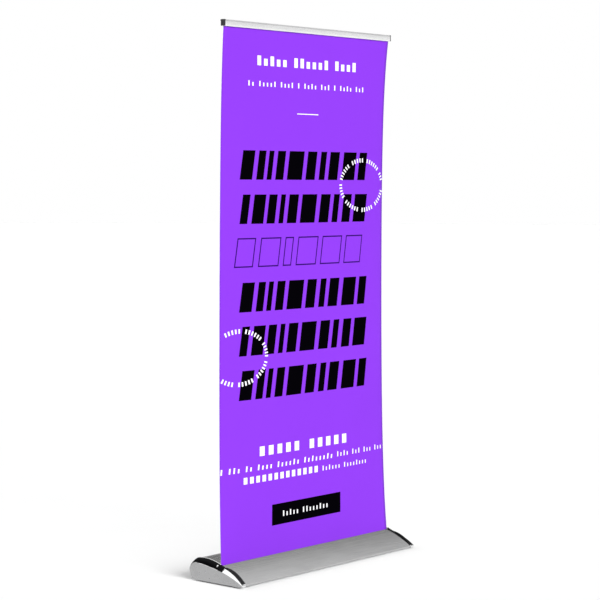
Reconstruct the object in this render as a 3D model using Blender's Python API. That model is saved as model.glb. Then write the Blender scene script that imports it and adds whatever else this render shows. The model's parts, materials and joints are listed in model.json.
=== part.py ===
"""Roll-up banner stand: a spring-loaded roller in a teardrop aluminium housing, a graphic that is pulled
up by a snap rail, and a three-section pole that holds the rail up.

Metres. X runs along the housing, -Y is the printed front, +Z is up. The origin is on the floor, under
the middle of the stand.
"""

from math import asin, cos, hypot, pi, radians, sin

import bmesh
import bpy
from mathutils import Matrix, Vector

# Driving dimensions
GRAPHIC_WIDTH = 1.000
GRAPHIC_HEIGHT = 2.000  # printed height between the slot and the rail
GRAPHIC_THICK = 0.0006
GAP = 0.0003  # between pieces that touch
SLOT_Y = -0.008  # plane of the graphic
SLOT_WIDTH = 0.003
SLOT_Z = 0.066  # where the graphic comes out of the housing

# Housing, an extrusion whose section is a round back, a long sloping front and a flat floor
HOUSING_LENGTH = 1.004
HOUSING_WALL = 0.0018
HOUSING_FLOOR_Z = 0.0055
BACK_CENTRE = (0.089, 0.043)
BACK_RADIUS = 0.042
NOSE = (-0.1295, 0.013)
NOSE_RADIUS = 0.005
CREST_PULL = 0.067  # length of the handle that draws the front slope out of the crest
NOSE_PULL = (0.047, 0.031)
SCREW_PORTS = ((0.1076, 0.0752), (0.096, 0.0108), (-0.085, 0.0108))
PORT_RADIUS = 0.0042
PORT_BORE = 0.0018

# End caps
CAP_THICK = 0.020
CAP_FLOOR_Z = 0.004
CAP_PROUD = 0.0015  # how far the cap stands out of the housing round its back
STEP_PROUD = 0.0050  # and just behind the step
REAR_BULGE = 0.0035  # rise of the cap's inner edge between them
STEP_Y = -0.033  # the black insert ends here, and the rim begins
RIM_PROUD = 0.0055
TIP_PROUD = 0.0035
RIM_BULGE = 0.0085
STEP_SLANT = 0.0008
BACK_SHOULDER = 0.0175  # how far the shoulder's foot lies inside the skin at the crest
FACE_DROP = 0.0155  # and how far it lies below the housing's slope, as far forward as FACE_FULL_Y
FACE_FULL_Y = 0.035
FACE_END_Y = -0.130
TIP_Y = -0.1325
TIP_RADIUS = 0.0075
EDGE_ROUND = 0.0010  # of the shoulder where it is at its smallest
LIP_SHARE = 0.16  # of the cap's thickness, the level lip beside the housing
TRIM_THICK = 0.0016
TRIM_START = radians(14)
STUD_Y = -0.004
CAP_SCREW_AT = (0.050, 0.040)

# The cap's shoulder across: share of the cap's thickness, share of the fall, and 1 where the recess is cut
SHOULDER = (
    (0.0, 0.0, 0),
    (LIP_SHARE, 0.0, 0),
    (LIP_SHARE + 0.03, 0.012, 1),
    (0.34, 0.09, 1),
    (0.50, 0.20, 1),
    (0.66, 0.36, 1),
    (0.84, 0.62, 1),
    (1.0, 1.0, 1),
)

# Roller
ROLL_RADIUS = 0.0165  # roller tube with the turns of film left on it
TUBE_RADIUS = 0.0150
TUBE_WALL = 0.0012
ROLLER_Y = SLOT_Y - ROLL_RADIUS - GRAPHIC_THICK / 2 - GAP
ROLLER_Z = 0.034
ROLLER_LENGTH = 0.998
PLATE_THICK = 0.0025
PLATE_INSET = 0.0016  # of the plate from the housing's outline

# Rail
RAIL_BOTTOM_Z = SLOT_Z + GRAPHIC_HEIGHT
RAIL_HEIGHT = 0.024
HEM_DEPTH = 0.012  # graphic held between the jaws
RAIL_CAP_THICK = 0.0035
COVER_HINGE = (SLOT_Y - 0.0105, RAIL_BOTTOM_Z + 0.0196)

# Pole
POLE_Y = SLOT_Y + 0.025
POLE_RADIUS = 0.008
POLE_WALL = 0.0012
POLE_JOINTS = (0.0125, 0.700, 1.388, 2.046)  # ends of the three sections
FERRULE_LENGTH = 0.100
HEAD_NECK_RADIUS = 0.0074
SOCKET_RADIUS = 0.012
SOCKET_TOP_Z = 0.080

# Feet
FEET = {
    "front_left": (-0.474, -0.100),
    "front_right": (0.474, -0.100),
    "rear_left": (-0.474, 0.080),
    "rear_right": (0.474, 0.080),
}
FOOT_RADIUS = 0.012
FOOT_HEIGHT = 0.0042
STUD_RADIUS = 0.003

SIDES = {"left": -1, "right": 1}


def clear_scene():
    for obj in list(bpy.data.objects):
        bpy.data.objects.remove(obj, do_unlink=True)


def material(name, colour, roughness, metallic=0.0):
    made = bpy.data.materials.get(name) or bpy.data.materials.new(name)
    made.use_nodes = True
    shader = made.node_tree.nodes["Principled BSDF"]
    shader.inputs["Base Color"].default_value = (*colour, 1.0)
    shader.inputs["Roughness"].default_value = roughness
    shader.inputs["Metallic"].default_value = metallic
    return made


def aluminium():
    return material("satin_aluminium", (0.62, 0.62, 0.63), 0.38, 1.0)


def chrome():
    return material("chrome_plated", (0.80, 0.80, 0.81), 0.10, 1.0)


def black_gloss():
    return material("black_gloss", (0.01, 0.01, 0.012), 0.12)


def black_plastic():
    return material("black_plastic", (0.03, 0.03, 0.032), 0.5)


def rubber():
    return material("rubber", (0.02, 0.02, 0.02), 0.8)


def steel():
    return material("zinc_steel", (0.55, 0.55, 0.56), 0.35, 1.0)


def film():
    return material("purple_film", (0.32, 0.06, 0.97), 0.5)


def nylon():
    return material("nylon", (0.75, 0.74, 0.70), 0.45)


def elastic():
    return material("elastic_cord", (0.05, 0.05, 0.055), 0.9)


def finish(name, bm, mat, smooth_below=35, place=None):
    """Close the bmesh into one named object with outward faces."""
    bmesh.ops.recalc_face_normals(bm, faces=bm.faces)
    mesh = bpy.data.meshes.new(name)
    bm.to_mesh(mesh)
    bm.free()
    mesh.materials.append(mat)
    mesh.shade_smooth()
    mesh.set_sharp_from_angle(angle=radians(smooth_below))
    obj = bpy.data.objects.new(name, mesh)
    bpy.context.collection.objects.link(obj)
    if place:
        obj.matrix_world = Matrix.Translation(place)
    return obj


def lofted(rings):
    """A closed bmesh through rings of points, each ring with the same number of points."""
    bm = bmesh.new()
    loops = [[bm.verts.new(p) for p in ring] for ring in rings]
    for low, high in zip(loops, loops[1:]):
        for i in range(len(low)):
            j = (i + 1) % len(low)
            bm.faces.new((low[i], low[j], high[j], high[i]))
    bm.faces.new(loops[0])
    bm.faces.new(loops[-1])
    return bm


def prism_x(name, outline, x0, x1, mat, smooth_below=35):
    """An outline of (y, z) points extruded along X."""
    rings = [[(x, y, z) for y, z in outline] for x in (x0, x1)]
    return finish(name, lofted(rings), mat, smooth_below)


def arc(centre, radius, angles):
    return [(centre[0] + radius * cos(a), centre[1] + radius * sin(a)) for a in angles]


def mix(low, high, share):
    share = min(max(share, 0.0), 1.0)
    return low + (high - low) * share


def circle(radius, sides, start=0.0):
    angles = [start + 2 * pi * i / sides for i in range(sides)]
    return arc((0.0, 0.0), radius, angles)


def turned(name, profile, mat, place, axis="Z", sides=24, smooth_below=35):
    """A solid of revolution. The profile is (radius, height) points; a closed ring profile makes a sleeve."""
    bm = bmesh.new()
    closed = profile[0][0] > 0
    rings = []
    for radius, height in profile:
        if radius > 0:
            rings.append([bm.verts.new((x, y, height)) for x, y in circle(radius, sides)])
        else:
            rings.append([bm.verts.new((0, 0, height))])
    pairs = list(zip(rings, rings[1:]))
    if closed:
        pairs.append((rings[-1], rings[0]))
    for low, high in pairs:
        for i in range(sides):
            j = (i + 1) % sides
            corners = [low[i % len(low)], low[j % len(low)], high[j % len(high)], high[i % len(high)]]
            bm.faces.new(list(dict.fromkeys(corners)))
    turn = {"X": Matrix.Rotation(radians(90), 4, "Y"), "-X": Matrix.Rotation(radians(-90), 4, "Y")}.get(axis)
    if turn:
        bmesh.ops.transform(bm, matrix=turn, verts=bm.verts)
    return finish(name, bm, mat, smooth_below, place)


def tube_profile(outer, inner, z0, z1):
    return [(outer, z0), (outer, z1), (inner, z1), (inner, z0)]


def rod_profile(radius, z0, z1):
    return [(0, z0), (radius, z0), (radius, z1), (0, z1)]


def guide(obj):
    """A cutter or a helper, which isn't part of the model."""
    obj.hide_render = True
    obj.display_type = "WIRE"
    return obj


def combine(obj, other, operation):
    step = obj.modifiers.new(f"{operation.lower()}_{other.name}", "BOOLEAN")
    step.operation = operation
    step.solver = "EXACT"
    step.object = guide(other)


# The housing's section


def bezier(p0, p1, p2, p3, steps):
    points = []
    for i in range(steps + 1):
        t = i / steps
        weights = ((1 - t) ** 3, 3 * t * (1 - t) ** 2, 3 * t * t * (1 - t), t**3)
        points.append(tuple(sum(w * p[k] for w, p in zip(weights, (p0, p1, p2, p3))) for k in (0, 1)))
    return points


def slope(steps=20):
    """The top of the housing from its crest down to its nose."""
    crest = (BACK_CENTRE[0], BACK_CENTRE[1] + BACK_RADIUS)
    crest_handle = (crest[0] - CREST_PULL, crest[1])
    nose_handle = (NOSE[0] + NOSE_PULL[0], NOSE[1] + NOSE_PULL[1])
    return bezier(crest, crest_handle, nose_handle, NOSE, steps)


def back_angle(radius, floor_z):
    """Angle at which the round back meets a floor."""
    return asin((floor_z - BACK_CENTRE[1]) / radius)


def back(radius, floor_z, steps=14):
    """The round back from the floor up to the crest."""
    start = back_angle(radius, floor_z)
    return arc(BACK_CENTRE, radius, [mix(start, pi / 2, i / steps) for i in range(steps + 1)])


def offset(points, distance):
    """Move an open line of points sideways, to the left of its direction."""
    out = []
    for i, (y, z) in enumerate(points):
        y0, z0 = points[max(i - 1, 0)]
        y1, z1 = points[min(i + 1, len(points) - 1)]
        length = hypot(y1 - y0, z1 - z0)
        out.append((y - distance * (z1 - z0) / length, z + distance * (y1 - y0) / length))
    return out


def height_at(points, y):
    for (y0, z0), (y1, z1) in zip(points, points[1:]):
        if min(y0, y1) <= y <= max(y0, y1):
            return z0 + (z1 - z0) * (y - y0) / (y1 - y0)
    raise ValueError("outside the outline")


def ahead_of(points, y):
    """The part of a falling line in front of y, with its cut end first."""
    return [(y, height_at(points, y))] + [p for p in points if p[0] < y]


def behind(points, y):
    """The part of a falling line behind y, without its first point and with its cut end last."""
    return [p for p in points[1:] if p[0] > y] + [(y, height_at(points, y))]


def housing_outline():
    """A C section: round from the rear lip of the slot over the back and floor to the front lip."""
    front_lip = SLOT_Y - SLOT_WIDTH / 2
    rear_lip = SLOT_Y + SLOT_WIDTH / 2
    nose_centre = (NOSE[0] + 0.0045, HOUSING_FLOOR_Z + NOSE_RADIUS)
    nose = arc(nose_centre, NOSE_RADIUS, [radians(d) for d in (190, 215, 240, 270)])
    top = slope()
    outer = ahead_of(top, front_lip) + nose + back(BACK_RADIUS, HOUSING_FLOOR_Z) + behind(top, rear_lip)
    inner_floor = HOUSING_FLOOR_Z + HOUSING_WALL
    inner_top = offset(top, HOUSING_WALL)
    chin_y = NOSE[0] + 0.0075
    inner = [p for p in ahead_of(inner_top, front_lip) if p[0] > chin_y] + [(chin_y, inner_floor)]
    inner += back(BACK_RADIUS - HOUSING_WALL, inner_floor) + behind(inner_top, rear_lip)
    return outer + inner[::-1]


def make_housing():
    half = HOUSING_LENGTH / 2
    housing = prism_x("housing", housing_outline(), -half, half, aluminium(), 30)
    for number, (y, z) in enumerate(SCREW_PORTS):
        rod = rod_profile(PORT_RADIUS, -half, half)
        port = turned(f"port_{number}", rod, aluminium(), (0, y, z), "X", 14)
        combine(housing, port, "UNION")
    for number, (y, z) in enumerate(SCREW_PORTS):
        reach = half + 0.005
        rod = rod_profile(PORT_BORE, -reach, reach)
        bore = turned(f"port_bore_{number}", rod, steel(), (0, y, z), "X", 12)
        combine(housing, bore, "DIFFERENCE")
    for corner, (x, y) in FEET.items():
        profile = rod_profile(STUD_RADIUS + GAP, HOUSING_FLOOR_Z - 0.003, HOUSING_FLOOR_Z + 0.004)
        combine(housing, turned(f"foot_hole_{corner}", profile, steel(), (x, y, 0), sides=14), "DIFFERENCE")
    profile = rod_profile(SOCKET_RADIUS + GAP, 0.040, SOCKET_TOP_Z + 0.02)
    combine(housing, turned("socket_hole", profile, steel(), (0, POLE_Y, 0), sides=28), "DIFFERENCE")


# End caps


def rear_proud(y):
    """How far the cap's inner edge stands above the housing behind the step."""
    share = (BACK_CENTRE[0] - y) / (BACK_CENTRE[0] - STEP_Y)
    return mix(CAP_PROUD, STEP_PROUD, share) + REAR_BULGE * sin(pi * share)


def rim_proud(y):
    """How far the rim stands above the housing in front of the step."""
    share = (STEP_Y - y) / (STEP_Y - NOSE[0])
    return mix(RIM_PROUD, TIP_PROUD, share) + RIM_BULGE * sin(pi * share)


def slope_station(y, z, proud, recess):
    """A station over the housing's slope: a point of the inner edge, the shoulder's fall, and the recess."""
    fall = proud + mix(0.0, FACE_DROP, (y - FACE_END_Y) / (FACE_FULL_Y - FACE_END_Y))
    return ((y, z + proud), (0.0, -fall), recess)


def back_stations(recess):
    radius = BACK_RADIUS + CAP_PROUD
    start = back_angle(radius, CAP_FLOOR_Z)
    plain = [mix(start, TRIM_START, i / 8) for i in range(9)]
    recessed = [mix(TRIM_START + radians(1.5), pi / 2, i / 10) for i in range(11)]
    found = []
    for angle in plain + recessed:
        fall = max(EDGE_ROUND, BACK_SHOULDER * angle / (pi / 2))
        way = (cos(angle), sin(angle))
        point = arc(BACK_CENTRE, radius, [angle])[0]
        found.append((point, (-fall * way[0], -fall * way[1]), recess if angle > TRIM_START else 0.0))
    return found


def tip_stations():
    centre = (TIP_Y + TIP_RADIUS, CAP_FLOOR_Z + TIP_RADIUS)
    found = []
    for angle in (radians(d) for d in (155, 178, 201, 224, 247, 270)):
        fall = (-EDGE_ROUND * cos(angle), -EDGE_ROUND * sin(angle))
        found.append((arc(centre, TIP_RADIUS, [angle])[0], fall, 0.0))
    return found


def stations():
    """Round the cap: (y, z) on its inner edge, the shoulder's fall as a vector, and depth of the recess."""
    recess = TRIM_THICK + GAP
    top = slope(32)
    found = back_stations(recess)
    found += [slope_station(y, z, rear_proud(y), recess) for y, z in top[1:] if y > STEP_Y + 0.003]
    found.append(slope_station(STEP_Y, height_at(top, STEP_Y), STEP_PROUD, recess))
    rim_y = STEP_Y - STEP_SLANT
    found.append(slope_station(rim_y, height_at(top, rim_y), RIM_PROUD, 0.0))
    found += [slope_station(y, z, rim_proud(y), 0.0) for y, z in top if y < STEP_Y - 0.003]
    return found + tip_stations()


def shoulder_point(station, across, share, sunk, side):
    """A point of the cap's skin: across from the inner edge to the flat face, sunk below the skin."""
    (y, z), (drop_y, drop_z), _ = station
    length = hypot(drop_y, drop_z)
    sink_y, sink_z = sunk * drop_y / length, sunk * drop_z / length
    x = side * (HOUSING_LENGTH / 2 + CAP_THICK * across)
    return (x, y + drop_y * share + sink_y, z + drop_z * share + sink_z)


def pocket_outline(inset):
    """The hollow of the cap, a plain outline that stays under the shoulder."""
    floor = CAP_FLOOR_Z + inset
    radius = BACK_RADIUS + CAP_PROUD - inset
    start = back_angle(radius, floor)
    round_back = arc(BACK_CENTRE, radius, [mix(start, radians(20), i / 6) for i in range(7)])
    crown = (0.095, 0.0655 - inset)
    brow = (-0.020, 0.0530 - inset)
    chin = (-0.106 + inset, 0.0185)
    return round_back + [crown, brow, chin, (chin[0] - 0.001, floor)]


def plate_outline(inset):
    """The housing's outline moved in, closed across the slot."""
    floor = HOUSING_FLOOR_Z + inset
    chin_y = NOSE[0] + 0.005 + inset
    top = [p for p in offset(slope(), inset)[1:] if p[0] > chin_y]
    return back(BACK_RADIUS - inset, floor) + top + [(chin_y, floor)]


def make_cap(name, side):
    rounds = stations()
    rings = [[shoulder_point(s, u, f, s[2] * flag, side) for s in rounds] for u, f, flag in SHOULDER]
    cap = finish(f"end_cap_{name}", lofted(rings), chrome(), 32)
    x0 = side * (HOUSING_LENGTH / 2 - 0.002)
    x1 = side * (HOUSING_LENGTH / 2 + CAP_THICK - 0.0025)
    combine(cap, prism_x(f"cap_pocket_{name}", pocket_outline(0.0025), x0, x1, chrome()), "DIFFERENCE")
    x1 = side * (HOUSING_LENGTH / 2 + PLATE_THICK + 2 * GAP)
    seat = prism_x(f"plate_seat_{name}", plate_outline(PLATE_INSET - GAP), x0, x1, chrome())
    combine(cap, seat, "DIFFERENCE")
    y, z = CAP_SCREW_AT
    x = side * HOUSING_LENGTH / 2
    axis = "X" if side > 0 else "-X"
    steps = [(0, 0.004), (0.0022, 0.004), (0.0022, 0.0185), (0.0034, 0.0187), (0.0034, 0.024), (0, 0.024)]
    combine(cap, turned(f"cap_hole_{name}", steps, chrome(), (x, y, z), axis, 16), "DIFFERENCE")


def make_trim(name, side):
    """The black insert that lies in the shoulder's recess behind the rim."""
    rounds = [station for station in stations() if station[2] > 0][1:]
    skin = [(LIP_SHARE + 0.055, 0.03)] + [(across, share) for across, share, _ in SHOULDER[3:]]
    rings = []
    for station in rounds:
        top = [shoulder_point(station, across, share, 0.0, side) for across, share in skin]
        under = [shoulder_point(station, across, share, TRIM_THICK, side) for across, share in skin]
        rings.append(top + under[::-1])
    finish(f"end_trim_{name}", lofted(rings), black_gloss(), 32)


def make_cap_fixings(name, side):
    x = side * HOUSING_LENGTH / 2
    axis = "X" if side > 0 else "-X"
    y, z = CAP_SCREW_AT
    head = [(0, 0.0052), (0.0019, 0.0052), (0.0019, 0.0189), (0.0030, 0.0189), (0.0030, 0.0193)]
    head += [(0.0022, 0.0197), (0.0012, 0.0197), (0.0012, 0.0191), (0, 0.0191)]
    turned(f"cap_screw_{name}", head, steel(), (x, y, z), axis, 16)
    make_trim_stud(name, side)


def make_trim_stud(name, side):
    """A bright domed stud near the front end of the black insert, standing on the shoulder."""
    recessed = [station for station in stations() if station[2] > 0]
    station = min(recessed, key=lambda found: abs(found[0][0] - STUD_Y))
    place = Vector(shoulder_point(station, 0.66, 0.36, 0.0, side))
    inward = Vector(shoulder_point(station, 0.50, 0.20, 0.0, side))
    outward = Vector(shoulder_point(station, 0.84, 0.62, 0.0, side))
    along = Vector((0.0, 0.95, 0.31))
    normal = (outward - inward).cross(along)
    normal = normal.normalized() * (1 if normal.z > 0 else -1)
    foot = 0.0007
    dome = [(0, foot), (0.0038, foot), (0.0038, 0.0013), (0.0030, 0.0021), (0.0016, 0.0027), (0, 0.0029)]
    stud = turned(f"trim_stud_{name}", dome, chrome(), None, sides=20)
    stud.matrix_world = Matrix.Translation(place) @ normal.to_track_quat("Z", "Y").to_matrix().to_4x4()


def make_axle_plate(name, side):
    """The steel plate that closes the housing's end and carries the roller."""
    x0 = side * (HOUSING_LENGTH / 2 + GAP)
    x1 = x0 + side * PLATE_THICK
    outline = plate_outline(PLATE_INSET)
    plate = prism_x(f"axle_plate_{name}", outline, min(x0, x1), max(x0, x1), steel(), 25)
    axis = "X" if side > 0 else "-X"
    x = side * HOUSING_LENGTH / 2
    bush_hole = rod_profile(0.0065 + GAP, -0.003, 0.008)
    bush_at = (x, ROLLER_Y, ROLLER_Z)
    combine(plate, turned(f"bush_hole_{name}", bush_hole, steel(), bush_at, axis, 24), "DIFFERENCE")
    tapped = rod_profile(0.0022, -0.003, 0.008)
    y, z = CAP_SCREW_AT
    combine(plate, turned(f"tapped_hole_{name}", tapped, steel(), (x, y, z), axis, 12), "DIFFERENCE")
    sunk = [(0, -0.003), (0.0018, -0.003), (0.0018, 0.0010), (0.0031, 0.0010), (0.0031, 0.008), (0, 0.008)]
    for number, (y, z) in enumerate(SCREW_PORTS, 1):
        hole = turned(f"plate_hole_{name}_{number}", sunk, steel(), (x, y, z), axis, 14)
        combine(plate, hole, "DIFFERENCE")


def make_plate_screws(name, side):
    axis = "X" if side > 0 else "-X"
    for number, (y, z) in enumerate(SCREW_PORTS, 1):
        profile = [(0, -0.010), (0.0015, -0.010), (0.0015, 0.0013), (0.0028, 0.0013), (0.0028, 0.0023)]
        profile += [(0.0020, 0.0027), (0, 0.0027)]
        turned(f"plate_screw_{name}_{number}", profile, steel(), (side * HOUSING_LENGTH / 2, y, z), axis, 14)


# Roller and spring


def make_roller():
    half = ROLLER_LENGTH / 2
    at = (0, ROLLER_Y, ROLLER_Z)
    inner = TUBE_RADIUS - TUBE_WALL
    turned("roller_tube", tube_profile(TUBE_RADIUS, inner, -half, half), aluminium(), at, "X", 28)
    wound = tube_profile(ROLL_RADIUS, TUBE_RADIUS + GAP, -half + 0.001, half - 0.001)
    turned("leader_film_roll", wound, film(), at, "X", 28)
    for name, side in SIDES.items():
        make_roller_plug(name, side, inner)


def make_roller_plug(name, side, inner):
    """Left: the spring's driver, free on the spindle. Right: the plug with the turning pin."""
    half = ROLLER_LENGTH / 2
    axis = "X" if side > 0 else "-X"
    at = (0, ROLLER_Y, ROLLER_Z)
    bore = 0.0045 if side < 0 else 0.0035
    outer = inner - GAP
    low, high = half - 0.022, half + 0.0015
    shoulder = half + GAP
    profile = [(outer, low), (outer, shoulder), (TUBE_RADIUS, shoulder), (TUBE_RADIUS, high)]
    profile += [(bore, high), (bore, low)]
    turned(f"roller_plug_{name}", profile, nylon(), at, axis, 24)


def make_spindle():
    """The fixed spindle of the spring on the left, held in the plate's bush by its collar."""
    end = HOUSING_LENGTH / 2
    at = (0, ROLLER_Y, ROLLER_Z)
    inner_end, socket_floor = 0.180, end + 0.004
    profile = [(0, inner_end), (0.0040, inner_end), (0.0040, end + 0.0095), (0.0025, end + 0.0105)]
    profile += [(0.0015, end + 0.0105), (0.0015, socket_floor), (0, socket_floor)]
    turned("spring_spindle", profile, steel(), at, "-X", 16)
    pin = [(0, end - 0.022), (0.0032, end - 0.022), (0.0032, end + 0.0085)]
    pin += [(0.0025, end + 0.0095), (0, end + 0.0095)]
    turned("idler_pin", pin, steel(), at, "X", 16)


def make_bushes():
    for name, side in SIDES.items():
        bore = 0.0040 + GAP if side < 0 else 0.0032 + GAP
        start = HOUSING_LENGTH / 2 - 0.0012
        flange = start + 0.0047
        end = start + 0.0062
        profile = [(0.0065, start), (0.0065, flange), (0.0085, flange), (0.0085, end)]
        profile += [(bore, end), (bore, start)]
        axis = "X" if side > 0 else "-X"
        turned(f"roller_bush_{name}", profile, nylon(), (0, ROLLER_Y, ROLLER_Z), axis, 20)


def make_spring():
    """The torsion spring, drawn with fewer turns than the real one."""
    turns, per_turn, wire_sides = 18, 12, 6
    radius, wire = 0.0085, 0.0011
    start, end = 0.190, 0.470
    rings = []
    for i in range(turns * per_turn + 1):
        angle = 2 * pi * i / per_turn
        x = -(start + (end - start) * i / (turns * per_turn))
        ring = []
        for a, b in circle(wire, wire_sides):
            reach = radius + a
            ring.append((x + b, ROLLER_Y + reach * cos(angle), ROLLER_Z + reach * sin(angle)))
        rings.append(ring)
    finish("torsion_spring", lofted(rings), steel(), 80)


def make_spring_collar():
    """The collar that stops the spring's inner end on the spindle."""
    at = (0, ROLLER_Y, ROLLER_Z)
    profile = tube_profile(0.0070, 0.0040 + GAP, 0.181, 0.187)
    turned("spring_collar", profile, nylon(), at, "-X", 18)


# Graphic and rail


def make_graphic():
    half = GRAPHIC_WIDTH / 2
    y0, y1 = SLOT_Y - GRAPHIC_THICK / 2, SLOT_Y + GRAPHIC_THICK / 2
    z0, z1 = ROLLER_Z + 0.002, RAIL_BOTTOM_Z + HEM_DEPTH
    outline = [(y0, z0), (y1, z0), (y1, z1), (y0, z1)]
    prism_x("graphic_panel", outline, -half, half, film())


def rail_place(points):
    return [(SLOT_Y + y, RAIL_BOTTOM_Z + z) for y, z in points]


# Sections of the rail's pieces, from the middle of its underside
JAW = 0.0008
SPINE_SECTION = (
    ((JAW, 0.0), (0.0080, 0.0), (0.0092, 0.0012), (0.0092, 0.0080), (0.0045, 0.0080), (0.0045, 0.0135))
    + ((0.0092, 0.0135), (0.0092, 0.0178), (0.0108, 0.0192), (0.0108, 0.0222), (0.0092, 0.0238))
    + ((0.0070, RAIL_HEIGHT), (-0.0085, RAIL_HEIGHT), (-0.0105, 0.0236), (-0.0115, 0.0222))
    + ((-0.0115, 0.0201), (-0.0030, 0.0201), (-0.0030, 0.0186), (JAW, 0.0170))
)
COVER_SECTION = (
    ((-0.0105, 0.0196), (-0.0103, 0.0060), (-0.0094, 0.0012), (-0.0082, 0.0), (-JAW, 0.0), (-JAW, 0.0038))
    + ((-0.0070, 0.0048), (-0.0084, 0.0075), (-0.0086, 0.0170), (-0.0052, 0.0172), (-0.0052, 0.0196))
)
RAIL_CAP_SECTION = (
    ((0.0010, 0.0), (0.0090, 0.0), (0.0100, 0.0010), (0.0100, 0.0172), (0.0116, 0.0186), (0.0116, 0.0228))
    + ((0.0098, 0.0246), (-0.0102, 0.0246), (-0.0120, 0.0230), (-0.0120, 0.0198), (-0.0108, 0.0190))
    + ((-0.0108, 0.0010), (-0.0098, 0.0), (-0.0010, 0.0), (-0.0010, 0.0150), (0.0010, 0.0150))
)


def make_rail():
    half = GRAPHIC_WIDTH / 2
    cover_half = half - 0.0002
    prism_x("rail_spine", rail_place(SPINE_SECTION), -half, half, aluminium(), 40)
    prism_x("rail_snap_cover", rail_place(COVER_SECTION), -cover_half, cover_half, aluminium(), 40)
    for name, side in SIDES.items():
        x0 = side * (half + GAP)
        x1 = x0 + side * RAIL_CAP_THICK
        section = rail_place(RAIL_CAP_SECTION)
        prism_x(f"rail_cap_{name}", section, min(x0, x1), max(x0, x1), black_plastic(), 40)


# Pole


def make_pole_sections():
    at = (0, POLE_Y, 0)
    inner = POLE_RADIUS - POLE_WALL
    names = ("pole_lower", "pole_middle", "pole_upper")
    for name, low, high in zip(names, POLE_JOINTS, POLE_JOINTS[1:]):
        profile = tube_profile(POLE_RADIUS, inner, low + GAP, high)
        turned(name, profile, aluminium(), at, sides=24)
    for name, joint in zip(("pole_ferrule_lower", "pole_ferrule_upper"), POLE_JOINTS[1:3]):
        half = FERRULE_LENGTH / 2
        turned(name, tube_profile(inner - GAP, 0.0052, joint - half, joint + half), steel(), at, sides=20)


def make_pole_ends():
    at = (0, POLE_Y, 0)
    inner = POLE_RADIUS - POLE_WALL - GAP
    low = POLE_JOINTS[0]
    plug = [(0, low - 0.0008), (0.0074, low - 0.0008), (0.0074, low), (inner, low), (inner, low + 0.016)]
    plug += [(0.0030, low + 0.018), (0, low + 0.018)]
    turned("pole_foot_plug", plug, black_plastic(), at, sides=20)
    cord = rod_profile(0.002, low + 0.018 + GAP, POLE_JOINTS[3] - 0.020 - GAP)
    turned("pole_shock_cord", cord, elastic(), at, sides=8)


def tongue_outline(reach, half_width):
    """A tongue in plan: a round neck on the pole's axis and a tip that is an arc about the same axis."""
    tip = asin(half_width / reach)
    front = arc((0.0, 0.0), reach, [mix(-tip, tip, i / 8) - pi / 2 for i in range(9)])
    neck = arc((0.0, 0.0), HEAD_NECK_RADIUS, [radians(d - 90) for d in (52, 90, 135, 180, 225, 270, 308)])
    return front + neck


def make_pole_head():
    """The head: a plug in the upper section, and a flat tongue that hooks in the rail's rear groove."""
    at = (0, POLE_Y, 0)
    top = POLE_JOINTS[3]
    inner = POLE_RADIUS - POLE_WALL - GAP
    tongue_low, tongue_high = RAIL_BOTTOM_Z + 0.0092, RAIL_BOTTOM_Z + 0.0122
    profile = [(0, top - 0.020), (inner, top - 0.020), (inner, top + GAP), (POLE_RADIUS, top + GAP)]
    profile += [(POLE_RADIUS, top + 0.004), (HEAD_NECK_RADIUS, top + 0.005)]
    profile += [(HEAD_NECK_RADIUS, tongue_high), (0, tongue_high)]
    head = turned("pole_head", profile, black_plastic(), at, sides=24)
    reach = POLE_Y - (SLOT_Y + 0.0045) - 0.0008
    outline = tongue_outline(reach, 0.0060)
    rings = [[(x, POLE_Y + y, z) for x, y in outline] for z in (tongue_low, tongue_high + 0.0006)]
    combine(head, finish("tongue", lofted(rings), black_plastic(), 35), "UNION")


def make_pole_socket():
    at = (0, POLE_Y, 0)
    floor = HOUSING_FLOOR_Z + HOUSING_WALL + GAP
    seat = POLE_JOINTS[0] - 0.0008 - GAP
    profile = [(0, floor), (SOCKET_RADIUS, floor), (SOCKET_RADIUS, SOCKET_TOP_Z - 0.001)]
    profile += [(SOCKET_RADIUS - 0.001, SOCKET_TOP_Z), (POLE_RADIUS + 0.001, SOCKET_TOP_Z)]
    profile += [(POLE_RADIUS + GAP, SOCKET_TOP_Z - 0.001), (POLE_RADIUS + GAP, seat), (0, seat)]
    turned("pole_socket", profile, black_plastic(), at, sides=28)


# Feet


def make_feet():
    for corner, (x, y) in FEET.items():
        make_foot(corner, (x, y, 0))


def make_foot(corner, place):
    top_radius = FOOT_RADIUS - 0.0015
    pad = [(0, 0), (FOOT_RADIUS - 0.001, 0), (FOOT_RADIUS, 0.001), (top_radius, FOOT_HEIGHT)]
    pad.append((0, FOOT_HEIGHT))
    turned(f"foot_pad_{corner}", pad, rubber(), place, sides=24)
    low = FOOT_HEIGHT + GAP
    stud = [(0, low), (STUD_RADIUS, low), (STUD_RADIUS, 0.0195), (STUD_RADIUS - 0.0007, 0.0202), (0, 0.0202)]
    turned(f"foot_stud_{corner}", stud, steel(), place, sides=14)
    make_foot_nut(corner, place)


def make_foot_nut(corner, place):
    """A hexagon nut on the housing's floor: rings of twelve points, outside and in the bore."""
    low = HOUSING_FLOOR_Z + HOUSING_WALL + GAP
    high = low + 0.005
    bore = circle(STUD_RADIUS + GAP, 12, pi / 12)
    rings = [[(x, y, z) for x, y in outline] for outline, z in (
        (hexagon_points(0.0058), low),
        (hexagon_points(0.0058), high),
        (bore, high),
        (bore, low),
    )]
    bm = bmesh.new()
    loops = [[bm.verts.new(point) for point in ring] for ring in rings]
    for one, other in zip(loops, loops[1:] + loops[:1]):
        for i in range(12):
            j = (i + 1) % 12
            bm.faces.new((one[i], one[j], other[j], other[i]))
    finish(f"foot_nut_{corner}", bm, steel(), 30, place)


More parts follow.
